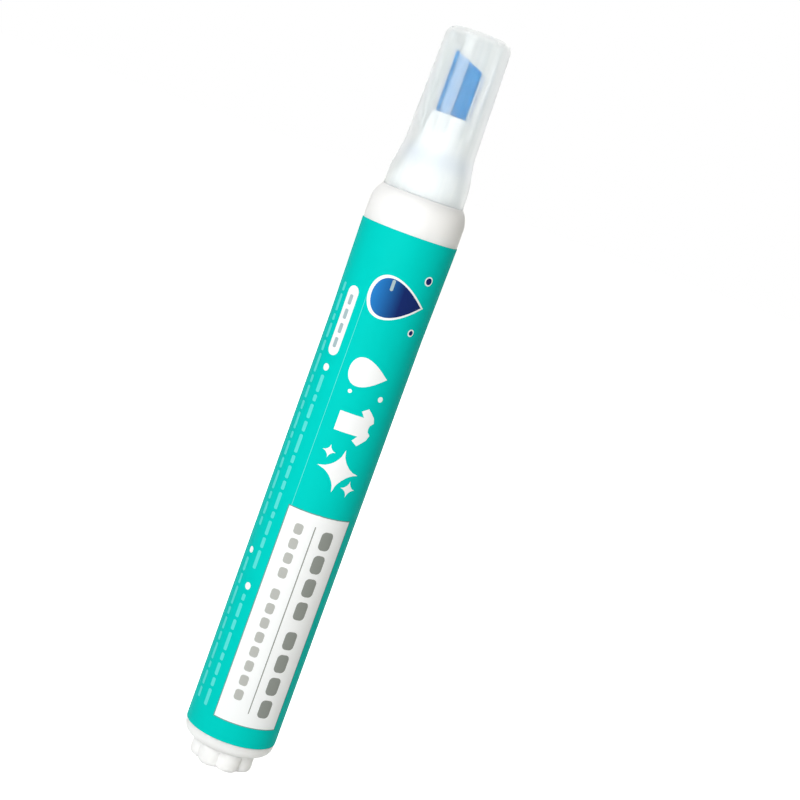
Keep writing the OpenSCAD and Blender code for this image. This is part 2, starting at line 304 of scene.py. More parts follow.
def revolve(
    name: str,
    profile: Iterable[Point],
    closed: bool = False,
    steps: int = ROUND_STEPS,
    turn: float = 360.0,
) -> Thing:
    """Spins a profile about the pen's axis.

    Args:
        name: The new object's name.
        profile: Points of (radius, height).
        closed: Whether the profile is a ring, and not a line with both ends on the axis.
        steps: The number of steps round the turn.
        turn: The angle to spin through, in degrees.

    Returns:
        The new object, with its normals outwards.
    """
    piece = drawn_line(name, [Vector((r, 0, z)) for r, z in profile], closed)
    bpy.ops.mesh.spin(steps=steps, angle=math.radians(turn), center=(0, 0, 0), axis=(0, 0, 1))
    bpy.ops.mesh.select_all(action="SELECT")
    bpy.ops.mesh.remove_doubles(threshold=MERGE_GAP)
    bpy.ops.mesh.normals_make_consistent(inside=False)
    return close_edit(piece)


def turned(piece: Thing, degrees: float) -> Thing:
    """Turns an object about the pen's axis and applies the turn.

    Args:
        piece: The object to turn.
        degrees: The angle, counted from +X towards +Y.

    Returns:
        The same object.
    """
    pick(piece)
    piece.rotation_euler = (0, 0, math.radians(degrees))
    apply_all()
    return piece


def joined(pieces: Sequence[Thing], name: str) -> Thing:
    """Joins several objects into one.

    Args:
        pieces: The objects to join.
        name: The joined object's name.

    Returns:
        The joined object.
    """
    pick(pieces[0])
    for piece in pieces[1:]:
        piece.select_set(True)
    if len(pieces) > 1:
        bpy.ops.object.join()
    whole = bpy.context.view_layer.objects.active
    whole.name = name
    return whole


def coat(piece: Thing, material: Material) -> None:
    """Gives an object one material in place of those that it has."""
    piece.data.materials.clear()
    piece.data.materials.append(material)


def set_on(piece: Thing, body: Body, replaces: Sequence[str] = ()) -> Thing:
    """Sets a finished piece on its body.

    Args:
        piece: The finished mesh, in metres.
        body: The body that it rides on.
        replaces: The CAD nodes that it stands for.

    Returns:
        The same object.
    """
    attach(piece, body.value)
    if replaces:
        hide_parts(*replaces)
    log.info("%s: %d faces, rides on %s", piece.name, len(piece.data.polygons), body.value)
    return piece


def place(
    piece: Thing,
    material: Material | None,
    body: Body,
    replaces: Sequence[str] = (),
    smooth_angle: float = 35.0,
) -> Thing:
    """Brings a finished piece to metres, dresses it and sets it on its body.

    Args:
        piece: The finished mesh, in millimetres.
        material: The material that it takes, or None where it has its own.
        body: The body that it rides on.
        replaces: The CAD nodes that it stands for.
        smooth_angle: Edges below this angle, in degrees, are shaded smooth.

    Returns:
        The same object.
    """
    pick(piece)
    piece.scale = (MM,) * 3
    apply_all()
    bpy.ops.object.shade_smooth_by_angle(angle=math.radians(smooth_angle), keep_sharp_edges=True)
    if material:
        coat(piece, material)
    return set_on(piece, body, replaces)


class NodeSheet:
    """A node tree with short ways to add and join its nodes."""

    def __init__(self, tree: bpy.types.NodeTree) -> None:
        """Starts on a tree, and clears it."""
        self.tree = tree
        tree.nodes.clear()

    def add(self, kind: str, settings: dict | None = None, **inputs: object) -> bpy.types.Node:
        """Adds a node, and sets or links its inputs.

        Args:
            kind: The node's type.
            settings: The node's own properties.
            inputs: Values or output sockets by input name, with spaces as underscores.

        Returns:
            The new node.
        """
        node = self.tree.nodes.new(kind)
        for name, value in (settings or {}).items():
            setattr(node, name, value)
        for name, value in inputs.items():
            self.feed(node.inputs[name.replace("_", " ")], value)
        return node

    def feed(self, socket: Socket, value: object) -> None:
        """Links an output to an input socket, or sets the input's value.

        Args:
            socket: The input socket.
            value: An output socket, or the value to set.
        """
        if isinstance(value, Socket):
            self.tree.links.new(value, socket)
        else:
            socket.default_value = value

    def maths(self, operation: str, *values: object) -> Socket:
        """Adds a maths node.

        Args:
            operation: What it works out.
            values: The values or output sockets that it works on.

        Returns:
            Its output.
        """
        node = self.add("ShaderNodeMath", {"operation": operation})
        for socket, value in zip(node.inputs, values):
            self.feed(socket, value)
        return node.outputs[0]

    def mixed(self, share: object, first: object, second: object) -> Socket:
        """Adds a colour mix.

        Args:
            share: How much of the second colour is taken, from 0 to 1.
            first: The colour at share 0.
            second: The colour at share 1.

        Returns:
            Its output.
        """
        node = self.add("ShaderNodeMix", {"data_type": "RGBA"}, Factor=share)
        for name, value in (("A", first), ("B", second)):
            socket = next(s for s in node.inputs if s.name == name and s.type == "RGBA")
            self.feed(socket, value)
        return next(s for s in node.outputs if s.type == "RGBA")

    def group(self, made: bpy.types.NodeTree, **inputs: object) -> Sockets:
        """Places a node group, sets or links its inputs, and returns its outputs."""
        return self.add("ShaderNodeGroup", {"node_tree": made}, **inputs).outputs


def rgba(colour: Colour) -> tuple[float, float, float, float]:
    """A colour with its alpha."""
    return (*colour, 1.0)


class SharedGroups:
    """The node groups that more than one material uses, each built once."""

    fine_detail: float = 3.0
    slow_detail: float = 2.0
    fibre_detail: float = 4.0
    clump_scale: float = 0.22

    def __init__(self) -> None:
        """Builds the groups."""
        self.grain = self._surface_grain()
        self.streaks = self._drawn_streaks()

    @staticmethod
    def _start(name: str, inputs: str, outputs: str) -> tuple[NodeSheet, Sockets]:
        """Starts a group, whose sockets are numbers but for one named Vector.

        Args:
            name: The group's name.
            inputs: The names of its inputs, parted by spaces.
            outputs: The names of its outputs, parted by spaces.

        Returns:
            The group's node sheet, and the sockets that bring its inputs.
        """
        tree = bpy.data.node_groups.new(name, "ShaderNodeTree")
        for side, sockets in (("INPUT", inputs), ("OUTPUT", outputs)):
            for socket in sockets.split():
                kind = "NodeSocketVector" if socket == "Vector" else "NodeSocketFloat"
                tree.interface.new_socket(name=socket, in_out=side, socket_type=kind)
        sheet = NodeSheet(tree)
        return sheet, sheet.add("NodeGroupInput").outputs

    def _surface_grain(self) -> bpy.types.NodeTree:
        """Moulded plastic's fine grain with a slow change of tone.

        Returns:
            A group that puts out Height, Rough and Tone.
        """
        sheet, given = self._start(
            "surface_grain", "Vector Grain Drift Roughness Spread", "Height Rough Tone"
        )
        where = given["Vector"]
        fine = sheet.add(
            "ShaderNodeTexNoise", Vector=where, Scale=given["Grain"], Detail=self.fine_detail
        )
        slow = sheet.add(
            "ShaderNodeTexNoise", Vector=where, Scale=given["Drift"], Detail=self.slow_detail
        )
        centred = sheet.maths("SUBTRACT", slow.outputs["Fac"], 0.5)
        rough = sheet.maths("MULTIPLY_ADD", centred, given["Spread"], given["Roughness"])
        sheet.add(
            "NodeGroupOutput", Height=fine.outputs["Fac"], Rough=rough, Tone=slow.outputs["Fac"]
        )
        return sheet.tree

    def _drawn_streaks(self) -> bpy.types.NodeTree:
        """Long thin streaks along the pen, for felt fibres, drawn wire and cloudy plastic.

        Returns:
            A group that puts out Fibre and Clump.
        """
        sheet, given = self._start("drawn_streaks", "Vector Across Along", "Fibre Clump")
        scale = sheet.add(
            "ShaderNodeCombineXYZ", X=given["Across"], Y=given["Across"], Z=given["Along"]
        )
        stretched = sheet.add("ShaderNodeVectorMath", {"operation": "MULTIPLY"})
        sheet.feed(stretched.inputs[0], given["Vector"])
        sheet.feed(stretched.inputs[1], scale.outputs[0])
        where = stretched.outputs[0]
        fibre = sheet.add("ShaderNodeTexNoise", Vector=where, Scale=1.0, Detail=self.fibre_detail)
        clump = sheet.add(
            "ShaderNodeTexNoise", Vector=where, Scale=self.clump_scale, Detail=self.slow_detail
        )
        sheet.add("NodeGroupOutput", Fibre=fibre.outputs["Fac"], Clump=clump.outputs["Fac"])
        return sheet.tree


class MaterialSheet(NodeSheet):
    """A new material's node tree, with the place on the object and the shared groups."""

    def __init__(self, name: str, groups: SharedGroups) -> None:
        """Makes the material and starts on its tree.

        Args:
            name: The material's name.
            groups: The shared node groups.
        """
        self.material = bpy.data.materials.new(name)
        self.material.use_nodes = True
        super().__init__(self.material.node_tree)
        self.groups = groups
        self.where = self.add("ShaderNodeTexCoord").outputs["Object"]

    def grained(self, finish: MouldedPlastic | FrostedPlastic) -> Sockets:
        """Places the surface grain with a finish's sizes, and returns its outputs."""
        return self.group(
            self.groups.grain, Vector=self.where, Grain=finish.grain_scale,
            Drift=finish.drift_scale, Roughness=finish.roughness, Spread=finish.rough_spread,
        )

    def streaked(self, across: float, along: float) -> Sockets:
        """Places the drawn streaks, and returns their outputs."""
        return self.group(self.groups.streaks, Vector=self.where, Across=across, Along=along)

    def ranged(self, value: Socket, low: float, high: float) -> Socket:
        """Maps a value's range from low to high onto 0 to 1, and returns the share."""
        node = self.add("ShaderNodeMapRange", Value=value, From_Min=low, From_Max=high)
        return node.outputs[0]

    def bumped(self, height: Socket, strength: float, distance: float) -> Socket:
        """Adds a bump whose distance is in metres, and returns its normal."""
        node = self.add("ShaderNodeBump", Strength=strength, Distance=distance, Height=height)
        return node.outputs[0]

    def finished(self, **inputs: object) -> Material:
        """Ends the material with its shader.

        Args:
            inputs: The shader's values or output sockets, by input name.

        Returns:
            The material.
        """
        shader = self.add("ShaderNodeBsdfPrincipled", **inputs)
        self.add("ShaderNodeOutputMaterial", Surface=shader.outputs[0])
        return self.material


@dataclass(frozen=True)
class MouldedPlastic:
    """A moulded plastic with a fine grain and a faint change of tone."""

    name: str
    colour: Colour
    deep_colour: Colour
    roughness: float = 0.42
    rough_spread: float = 0.12
    specular: float = 0.55
    soft_depth: float = 0.0
    soft_share: float = 0.0
    soft_reach: Colour = (1.0, 1.0, 0.95)
    grain_scale: float = 5200.0
    drift_scale: float = 55.0
    bump: float = 0.04
    bump_depth: float = 0.00002

    def tone(self, sheet: MaterialSheet, drift: Socket) -> Socket:
        """Mixes the two colours by the grain's slow drift."""
        return sheet.mixed(drift, rgba(self.deep_colour), rgba(self.colour))

    def build(self, groups: SharedGroups) -> Material:
        """Makes the material.

        Args:
            groups: The shared node groups.

        Returns:
            The new material.
        """
        sheet = MaterialSheet(self.name, groups)
        grain = sheet.grained(self)
        return sheet.finished(
            Base_Color=self.tone(sheet, grain["Tone"]),
            Roughness=grain["Rough"],
            Normal=sheet.bumped(grain["Height"], self.bump, self.bump_depth),
            Specular_IOR_Level=self.specular,
            Subsurface_Weight=self.soft_share,
            Subsurface_Radius=self.soft_reach,
            Subsurface_Scale=self.soft_depth,
        )


@dataclass(frozen=True)
class PrintedFilm(MouldedPlastic):
    """The label's film or one of its inks, which can fade to another colour towards -X."""

    roughness: float = 0.55
    rough_spread: float = 0.1
    specular: float = 0.02
    grain_scale: float = 9000.0
    drift_scale: float = 90.0
    bump: float = 0.03
    bump_depth: float = 0.00001
    fade_colour: Colour | None = None
    fade_range: Point = (0.0, 0.0)

    def tone(self, sheet: MaterialSheet, drift: Socket) -> Socket:
        """Mixes the colours as a plastic does, and lets them fade where a fade is given.

        Args:
            sheet: The material's node sheet.
            drift: The grain's slow drift.

        Returns:
            The colour's socket.
        """
        tone = super().tone(sheet, drift)
        if not self.fade_colour:
            return tone
        side = sheet.add("ShaderNodeSeparateXYZ", Vector=sheet.where).outputs["X"]
        share = sheet.ranged(side, *(x * MM for x in self.fade_range))
        return sheet.mixed(share, rgba(self.fade_colour), tone)


@dataclass(frozen=True)
class FrostedPlastic:
    """The cap's see-through plastic, cloudy in streaks, with shade painted as a darker band round
    its flare.
    """

    name: str
    tint: Colour = (0.88, 0.895, 0.89)
    streak_tint: Colour = (0.83, 0.855, 0.855)
    # Painted shade: a darker, cooler tint at this height and half reach stands in for the shade and
    # refraction at the cap's inner step
    flare_shade_tint: Colour = (0.79, 0.82, 0.84)
    flare_shade_z: float = 114.8
    flare_shade_half: float = 2.6
    roughness: float = 0.3
    rough_spread: float = 0.1
    index: float = 1.08
    transmission: float = 0.93
    grain_scale: float = 2600.0
    drift_scale: float = 160.0
    streaks_across: float = 1500.0
    streaks_along: float = 14.0
    streak_range: Point = (0.38, 0.62)
    bump: float = 0.05
    bump_depth: float = 0.00003

    def build(self, groups: SharedGroups) -> Material:
        """Makes the material.

        Args:
            groups: The shared node groups.

        Returns:
            The new material.
        """
        sheet = MaterialSheet(self.name, groups)
        grain = sheet.grained(self)
        streaks = sheet.streaked(self.streaks_across, self.streaks_along)
        share = sheet.ranged(streaks["Fibre"], *self.streak_range)
        tone = sheet.mixed(share, rgba(self.streak_tint), rgba(self.tint))
        # Painted shade: the colour darkens towards the flare's middle height, in place of the shade
        # and refraction at the inner step
        height = sheet.add("ShaderNodeSeparateXYZ", Vector=sheet.where).outputs["Z"]
        off = sheet.maths("SUBTRACT", height, self.flare_shade_z * MM)
        flare_shade = sheet.add(
            "ShaderNodeMapRange", {"interpolation_type": "SMOOTHSTEP"},
            Value=sheet.maths("ABSOLUTE", off), From_Min=0.0,
            From_Max=self.flare_shade_half * MM, To_Min=1.0, To_Max=0.0,
        )
        return sheet.finished(
            Base_Color=sheet.mixed(flare_shade.outputs[0], tone, rgba(self.flare_shade_tint)),
            Roughness=grain["Rough"],
            Normal=sheet.bumped(grain["Height"], self.bump, self.bump_depth),
            IOR=self.index,
            Transmission_Weight=self.transmission,
        )


@dataclass(frozen=True)
class PressedFelt:
    """The nib's dyed felt, whose fibres run along the pen."""

    name: str = "pressed_felt"
    light: Colour = (0.01, 0.26, 0.6)
    dark: Colour = (0.003, 0.19, 0.49)
    worn_share: float = 0.35
    fibres_across: float = 9000.0
    fibres_along: float = 900.0
    bump: float = 0.5
    bump_depth: float = 0.00004
    roughness: float = 0.9
    specular: float = 0.1
    sheen: float = 0.25
    sheen_roughness: float = 0.5

    def build(self, groups: SharedGroups) -> Material:
        """Makes the material.

        Args:
            groups: The shared node groups.

        Returns:
            The new material.
        """
        sheet = MaterialSheet(self.name, groups)
        streaks = sheet.streaked(self.fibres_across, self.fibres_along)
        blue = sheet.mixed(streaks["Fibre"], rgba(self.dark), rgba(self.light))
        worn = sheet.maths("MULTIPLY", streaks["Clump"], self.worn_share)
        return sheet.finished(
            Base_Color=sheet.mixed(worn, blue, rgba(self.light)),
            Roughness=self.roughness,
            Normal=sheet.bumped(streaks["Fibre"], self.bump, self.bump_depth),
            Specular_IOR_Level=self.specular,
            Sheen_Weight=self.sheen,
            Sheen_Roughness=self.sheen_roughness,
        )


@dataclass(frozen=True)
class DrawnSteel:
    """The valve spring's wire, which is rougher and smoother in streaks."""

    name: str = "drawn_steel"
    colour: Colour = (0.62, 0.62, 0.64)
    streaks_across: float = 3000.0
    streaks_along: float = 9000.0
    least_rough: float = 0.2
    rough_spread: float = 0.2

    def build(self, groups: SharedGroups) -> Material:
        """Makes the material.

        Args:
            groups: The shared node groups.

        Returns:
            The new material.
        """
        sheet = MaterialSheet(self.name, groups)
        streaks = sheet.streaked(self.streaks_across, self.streaks_along)
        rough = sheet.maths("MULTIPLY_ADD", streaks["Fibre"], self.rough_spread, self.least_rough)
        return sheet.finished(Base_Color=rgba(self.colour), Roughness=rough, Metallic=1.0)


@dataclass
class Finishes:
    """Every material of the pen, built once."""

    groups: SharedGroups = field(default_factory=SharedGroups)

    def __post_init__(self) -> None:
        """Builds the materials."""
        self.white = self.plastic(
            "white_plastic", (0.955, 0.96, 0.96), (0.93, 0.935, 0.935),
            soft_share=0.5, soft_depth=0.0022,
        )
        self.section = self.plastic(
            "section_plastic", (0.9, 0.91, 0.925), (0.87, 0.88, 0.9),
            soft_share=0.3, soft_depth=0.0012,
        )
        self.natural = self.plastic(
            "natural_plastic", (0.84, 0.86, 0.85), (0.78, 0.8, 0.79),
            roughness=0.35, soft_share=0.3, soft_depth=0.001,
        )
        self.rubber = self.plastic(
            "black_rubber", (0.03, 0.03, 0.033), (0.018, 0.018, 0.02),
            roughness=0.75, specular=0.2,
        )
        self.felt = PressedFelt().build(self.groups)
        self.frosted = FrostedPlastic("frosted_wall").build(self.groups)
        self.frosted_rib = FrostedPlastic(
            "frosted_rib", tint=(0.85, 0.87, 0.87), streak_tint=(0.82, 0.84, 0.845),
            roughness=0.45, transmission=0.65,
        ).build(self.groups)
        self.steel = DrawnSteel().build(self.groups)
        self.film = self.printed("label_film", (0.0, 0.62, 0.56), (0.0, 0.59, 0.53))
        self.ink_white = self.printed(
            "ink_white", (0.93, 0.95, 0.965), (0.91, 0.93, 0.945), roughness=0.45, specular=0.4
        )
        self.ink_mint = self.printed("ink_mint", (0.12, 0.76, 0.73), (0.1, 0.72, 0.69))
        self.ink_grey = self.printed("ink_grey", (0.3, 0.32, 0.3), (0.27, 0.29, 0.27))
        self.ink_pale = self.printed("ink_pale", (0.5, 0.51, 0.49), (0.46, 0.47, 0.45))
        self.ink_silver = self.printed("ink_silver", (0.42, 0.55, 0.58), (0.36, 0.48, 0.52))
        self.ink_edge = self.printed("ink_edge", (0.14, 0.32, 0.3), (0.12, 0.29, 0.27))
        self.ink_navy = self.printed(
            "ink_navy", (0.012, 0.03, 0.16), (0.008, 0.02, 0.12),
            fade_colour=(0.02, 0.2, 0.56), fade_range=(-2.4, 2.6),
        )

    def plastic(self, *colours: object, **settings: float) -> Material:
        """Builds one moulded plastic."""
        return MouldedPlastic(*colours, **settings).build(self.groups)

    def printed(self, *colours: object, **settings: object) -> Material:
        """Builds the film or one ink."""
        return PrintedFilm(*colours, **settings).build(self.groups)


@dataclass
class CarriedNodes:
    """The CAD nodes that stay as they are, and get better materials."""

    finishes: Finishes
    spring_foot: float = 93.5
    spring_h: float = 9.7
    nib_travel: float = 2.0

    def press_spring(self) -> None:
        """Gives the spring a mesh of its own."""
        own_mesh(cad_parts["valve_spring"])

    def dress(self) -> None:
        """Gives each carried node its material."""
        chosen = {
            "front_section": self.finishes.section,
            "valve_body": self.finishes.natural,
            "valve_plunger": self.finishes.natural,
            "spring_retainer": self.finishes.natural,
            "valve_seal": self.finishes.rubber,
            "valve_spring": self.finishes.steel,
        }
        for node, material in chosen.items():
            coat(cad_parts[node], material)
            log.info("%s keeps its solid and gets %s", node, material.name)


@dataclass
class Barrel:
    """The white tube with its bare collar, rounded shoulder and neck."""

    finishes: Finishes
    lead_in: float = 0.4
    rim_edge: float = 0.12
    shoulder_steps: int = 16
    rim_steps: int = 3

    def build(self) -> Thing:
        """Builds the tube as one spun profile.

        Returns:
            The barrel.
        """
        step = PEN.collar_r - PEN.rim_r
        rise = PEN.z_rim - PEN.z_shoulder
        sweep = 2 * math.atan(step / rise)
        radius = rise / math.sin(sweep)
        profile = [
            (PEN.bore_r + self.lead_in, PEN.z_barrel),
            (PEN.barrel_r - self.rim_edge, PEN.z_barrel),
            (PEN.barrel_r, PEN.z_barrel + self.rim_edge),
            (PEN.barrel_r, PEN.z_flare),
            (PEN.collar_r, PEN.z_collar),
            *arc(
                (PEN.collar_r - radius, PEN.z_shoulder), radius, 0, math.degrees(sweep),
                self.shoulder_steps,
            ),
            *arc(
                (PEN.counterbore_r + self.rim_edge, PEN.z_rim - self.rim_edge),
                self.rim_edge, 90, 180, self.rim_steps,
            ),
            (PEN.counterbore_r, PEN.z_flange),
            (PEN.neck_r, PEN.z_flange),
            (PEN.neck_r, PEN.z_plug),
            (PEN.bore_r, PEN.z_plug - 2 * (PEN.bore_r - PEN.neck_r)),
            (PEN.bore_r, PEN.z_barrel + 2 * self.lead_in),
        ]
        tube = revolve("barrel_tube", profile, closed=True)
        return place(tube, self.finishes.white, Body.BARREL, ["barrel"])


@dataclass
class TailPlug:
    """The plug with a rounded flange and a lobed stub that closes the tail."""

    finishes: Finishes
    stub_h: float = 4.0
    lobe_r: float = 2.4
    ring_r: float = 3.5
    lobes: int = 7
    groove_turn: float = -4.0
    foot_edge: float = 1.15
    foot_steps: int = 10
    flange_edge: float = 1.75
    flange_steps: int = 16
    skirt_r: float = 7.1
    skirt_h: float = 7.0
    skirt_wall: float = 1.1
    skirt_edge: float = 0.4
    floor_drop: float = 0.9
    sink: float = 0.6
    smooth_angle: float = 40.0
    pillar_steps: int = 72

    def pillar(self, name: str, radius: float, x: float) -> Thing:
        """Adds an upright cylinder that reaches into the flange.

        Args:
            name: Its name.
            radius: Its radius.
            x: Its distance to the right of the axis.

        Returns:
            The cylinder.
        """
        tall = self.stub_h + self.sink
        nothing_selected()
        bpy.ops.mesh.primitive_cylinder_add(
            vertices=self.pillar_steps, radius=radius, depth=tall, location=(x, 0, tall / 2)
        )
        apply_all()
        piece = bpy.context.object
        piece.name = name
        return piece

    def lobe(self) -> Thing:
        """Builds one round lobe with a domed foot, to the right of the axis.

        Returns:
            The lobe.
        """
        piece = self.pillar("tail_lobe", self.lobe_r, self.ring_r)
        select_faces(piece, lambda centre, normal: normal.z < FACES_DOWN)
        bpy.ops.mesh.bevel(offset=self.foot_edge, segments=self.foot_steps, affect="EDGES")
        return close_edit(piece)

    def stub(self) -> Thing:
        """Sets the lobes in a ring round a plain core.

        Returns:
            The stub.
        """
        core = self.pillar("tail_stub", self.ring_r, 0)
        first = self.lobe()
        pitch = 360 / self.lobes
        for number in range(self.lobes):
            copy = first.copy()
            copy.data = first.data.copy()
            bpy.context.scene.collection.objects.link(copy)
            turned(copy, self.groove_turn - 90 + pitch * (number + 0.5))
            united(core, copy)
        bpy.data.objects.remove(first)
        return core

    def build(self) -> Thing:
        """Builds the plug.

        Returns:
            The tail plug.
        """
        edge = self.flange_edge
        floor = PEN.z_barrel - self.floor_drop
        top = PEN.z_barrel + self.skirt_h
        inner = self.skirt_r - self.skirt_wall
        body = revolve("tail_plug_shell", [
            (0, self.stub_h),
            *arc((PEN.barrel_r - edge, self.stub_h + edge), edge, -90, 0, self.flange_steps),
            (PEN.barrel_r, PEN.z_barrel),
            (self.skirt_r, PEN.z_barrel),
            (self.skirt_r, top - self.skirt_edge),
            (self.skirt_r - self.skirt_edge, top),
            (inner, top),
            (inner, floor),
            (0, floor),
        ])
        united(body, self.stub())
        return place(
            body, self.finishes.white, Body.BARREL, ["tail_plug"], self.smooth_angle
        )


@dataclass
class FeltNib:
    """The chisel nib: a rounded bar with a slanted wedge at its end."""

    finishes: Finishes
    width: float = 6.1
    depth: float = 3.8
    corner: float = 1.1
    corner_steps: int = 8
    foot: float = 110.3
    slant: float = 23.0
    wedge_h: float = 4.6
    edge: float = 0.9
    soft_edge: float = 0.14
    soft_steps: int = 2
    soft_angle: float = 28.0
    fibre_size: float = 0.17
    fuzz_size: float = 0.35
    fuzz: float = 0.05
    fuzz_level: float = 0.9
    smooth_angle: float = 60.0

    def build(self) -> Thing:
        """Builds the nib by cutting a bar, then roughens it.

        Returns:
            The nib.
        """
        tall = PEN.z_nib_tip - self.foot
        bar = block("felt_nib", (0, 0, self.foot + tall / 2), (self.width, self.depth, tall))
        self._round_uprights(bar)
        self._cut_wedge(bar)
        modify(
            bar, "BEVEL", width=self.soft_edge, segments=self.soft_steps, limit_method="ANGLE",
            angle_limit=math.radians(self.soft_angle),
        )
        modify(bar, "REMESH", mode="VOXEL", voxel_size=self.fibre_size, use_smooth_shade=True)
        fibres = bpy.data.textures.new("felt_fibres", "CLOUDS")
        fibres.noise_scale = self.fuzz_size
        modify(
            bar, "DISPLACE", texture=fibres, texture_coords="LOCAL", strength=self.fuzz,
            mid_level=self.fuzz_level,
        )
        return place(bar, self.finishes.felt, Body.NIB, ["nib"], self.smooth_angle)

    def _round_uprights(self, bar: Thing) -> None:
        """Rounds the bar's four upright edges.

        Args:
            bar: The plain bar.
        """
        edit_all(bar, "EDGE")
        bpy.ops.mesh.select_all(action="DESELECT")
        bpy.ops.object.mode_set(mode="OBJECT")
        for line in bar.data.edges:
            one, two = (bar.data.vertices[i].co for i in line.vertices)
            line.select = abs(one.z - two.z) > MERGE_GAP
        bpy.ops.object.mode_set(mode="EDIT")
        bpy.ops.mesh.bevel(offset=self.corner, segments=self.corner_steps, affect="EDGES")
        close_edit(bar)

    def _cut_wedge(self, bar: Thing) -> None:
        """Cuts the slanted end and the wedge's two faces.

        Args:
            bar: The bar with its rounded edges.
        """
        lean = math.radians(self.slant)
        high = Vector((-self.width / 2, 0, PEN.z_nib_tip))
        along = Vector((math.sin(lean), 0, math.cos(lean)))
        fall = (self.depth - self.edge) / 2
        planes = [(high, along)]
        for side in (-1, 1):
            normal = Vector((0, side * self.wedge_h, 0)) + along * fall
            planes.append((high + Vector((0, side * self.edge / 2, 0)), normal.normalized()))
        for point, normal in planes:
            edit_all(bar, "FACE")
            bpy.ops.mesh.bisect(plane_co=point, plane_no=normal, use_fill=True, clear_outer=True)
            close_edit(bar)


@dataclass
class Cap:
    """The thin frosted cap with upright ribs inside."""

    finishes: Finishes
    z_top: float = 137.3
    z_in: float = 136.5
    skirt_in_r: float = 6.6
    skirt_r: float = 7.3
    skirt_loss: float = 0.1
    foot_r: float = 6.26
    top_r: float = 5.86
    wall: float = 0.9
    skirt_h: float = 2.6
    flare_h: float = 6.7
    corner: float = 2.0
    corner_steps: int = 12
    corner_in: float = 1.2
    corner_in_steps: int = 6
    step_up: float = 1.2
    step_h: float = 2.7
    mouth_edge: float = 0.15
    bead_r: float = 6.54
    bead_up: float = 0.2
    bead_slope: float = 0.15
    bead_flat: float = 0.2
    ribs: int = 6
    rib_turn: float = -16.5
    rib_w: float = 2.0
    rib_in_r: float = 4.354
    rib_edge: float = 0.16
    rib_edge_steps: int = 3
    rib_edge_angle: float = 60.0
    rib_bite: float = 0.3
    z_rib: float = 119.3
    gate_r: float = 0.9
    gate_drop: float = 0.12
    gate_slope: float = 0.15

    def shell(self) -> Thing:
        """Spins the cap's wall, with its gripping bead and the gate mark on its top.

        Returns:
            The shell.
        """
        flare = PEN.z_rim + self.skirt_h
        bead = PEN.z_rim + self.bead_up + self.bead_slope
        inside = [
            (self.skirt_in_r, PEN.z_rim),
            (self.skirt_in_r, bead - self.bead_slope),
            (self.bead_r, bead),
            (self.bead_r, bead + self.bead_flat),
            (self.skirt_in_r, bead + self.bead_flat + self.bead_slope),
            *soft_step(
                self.skirt_in_r - self.skirt_loss, self.foot_r - self.wall,
                flare + self.step_up, self.step_h,
            ),
            *arc(
                (self.top_r - self.wall - self.corner_in, self.z_in - self.corner_in),
                self.corner_in, 0, 90, self.corner_in_steps,
            ),
            (0, self.z_in),
        ]
        outside = [
            (self.skirt_r - self.mouth_edge, PEN.z_rim),
            (self.skirt_r, PEN.z_rim + self.mouth_edge),
            *soft_step(self.skirt_r - self.skirt_loss, self.foot_r, flare, self.flare_h),
            *arc(
                (self.top_r - self.corner, self.z_top - self.corner), self.corner, 0, 90,
                self.corner_steps,
            ),
            (self.gate_r + self.gate_slope, self.z_top),
            (self.gate_r, self.z_top - self.gate_drop),
            (0, self.z_top - self.gate_drop),
        ]
        return revolve("cap_shell", [*reversed(inside), *outside])

    def rib(self, number: int) -> Thing:
        """Builds one rib as a bar with rounded inner edges.

        Args:
            number: Which rib it is, counted round from the first.

        Returns:
            The rib, in place.
        """
        outer = self.top_r - self.wall / 2
        tall = self.z_in + self.rib_bite - self.z_rib
        bar = block(
            "rib", ((self.rib_in_r + outer) / 2, 0, self.z_rib + tall / 2),
            (outer - self.rib_in_r, self.rib_w, tall),
        )
        modify(
            bar, "BEVEL", width=self.rib_edge, segments=self.rib_edge_steps,
            limit_method="ANGLE", angle_limit=math.radians(self.rib_edge_angle),
        )
        return turned(bar, self.rib_turn - 90 + 360 * number / self.ribs)

    def build(self) -> Thing:
        """Builds the cap.

        Returns:
            The cap.
        """
        shell = self.shell()
        shell.data.materials.append(self.finishes.frosted)
        bars = joined([self.rib(i) for i in range(self.ribs)], "cap_ribs")
        bars.data.materials.append(self.finishes.frosted_rib)
        united(shell, bars, material_mode="TRANSFER")
        return place(shell, None, Body.CAP, ["cap"])


